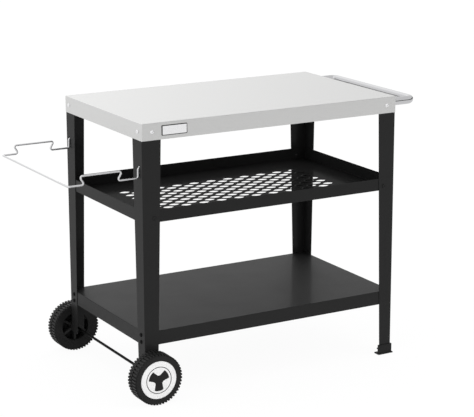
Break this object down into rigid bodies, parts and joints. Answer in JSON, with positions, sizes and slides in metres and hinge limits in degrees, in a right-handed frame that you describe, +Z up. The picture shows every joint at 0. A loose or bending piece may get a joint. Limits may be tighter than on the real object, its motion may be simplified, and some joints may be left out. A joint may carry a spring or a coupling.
{
  "type": "grill table",
  "caption": "Wheeled outdoor grill table: steel top on tapered angle legs, slotted tray, lower shelf, push handle, lugged wheels, foot caps and a hooked wire bag holder.",
  "frame": {"origin": "on the floor, in the middle of the whole object's length and width", "axes": "+X along the table towards the push handle, +Y from the front to the rear wheel, +Z up"},
  "size_m": [1.1684, 0.607, 0.8077],
  "materials": {
    "brushed_top": "fine brushing along the length, satin",
    "galvanised_steel": "dull zinc",
    "black_coat": "fine-textured black powder coat, satin",
    "chrome_tube": "polished plating",
    "bright_wire": "bright plated wire, soft gloss",
    "zinc_fasteners": "bright zinc",
    "black_fasteners": "black, semi-gloss",
    "wheel_plastic": "moulded black plastic, fine grain",
    "white_cap": "moulded white plastic, satin",
    "dark_insert": "moulded black plastic, satin",
    "foot_plastic": "moulded black plastic, fine grain",
    "plug_nylon": "black nylon"
  },
  "bodies": {
    "table": {"tabletop": "brushed_top", "top_stiffeners": "galvanised_steel", "leg_front_left": "black_coat", "leg_front_right": "black_coat", "leg_rear_left": "black_coat", "leg_rear_right": "black_coat", "middle_shelf": "black_coat", "bottom_shelf": "black_coat", "handle_tube": "chrome_tube", "top_screws": "zinc_fasteners", "top_nuts": "zinc_fasteners", "tray_nuts": "zinc_fasteners", "shelf_nuts": "zinc_fasteners", "handle_bolts": "zinc_fasteners", "handle_washers": "zinc_fasteners", "axle_nuts": "zinc_fasteners", "axle_washers": "zinc_fasteners", "tray_screws": "black_fasteners", "shelf_screws": "black_fasteners", "axle": "black_fasteners", "foot_cap_front": "foot_plastic", "foot_cap_rear": "foot_plastic", "handle_plugs": "plug_nylon"},
    "front_wheel": {"front_wheel": "wheel_plastic", "front_wheel_cap": "white_cap", "front_cap_insert": "dark_insert"},
    "rear_wheel": {"rear_wheel": "wheel_plastic", "rear_wheel_cap": "white_cap", "rear_cap_insert": "dark_insert"},
    "bag_holder": {"bag_holder": "bright_wire"}
  },
  "joints": [
    {"name": "front_wheel_spin", "type": "hinge", "parent": "table", "child": "front_wheel", "pos_m": [-0.3478, -0.2795, 0.075], "axis": [0, 1, 0], "continuous": true},
    {"name": "rear_wheel_spin", "type": "hinge", "parent": "table", "child": "rear_wheel", "pos_m": [-0.3478, 0.2795, 0.075], "axis": [0, 1, 0], "continuous": true},
    {"name": "bag_holder_lift", "type": "hinge", "parent": "table", "child": "bag_holder", "pos_m": [-0.36445, 0, 0.6798], "axis": [0, 1, 0], "range_deg": [0, 50]}
  ]
}
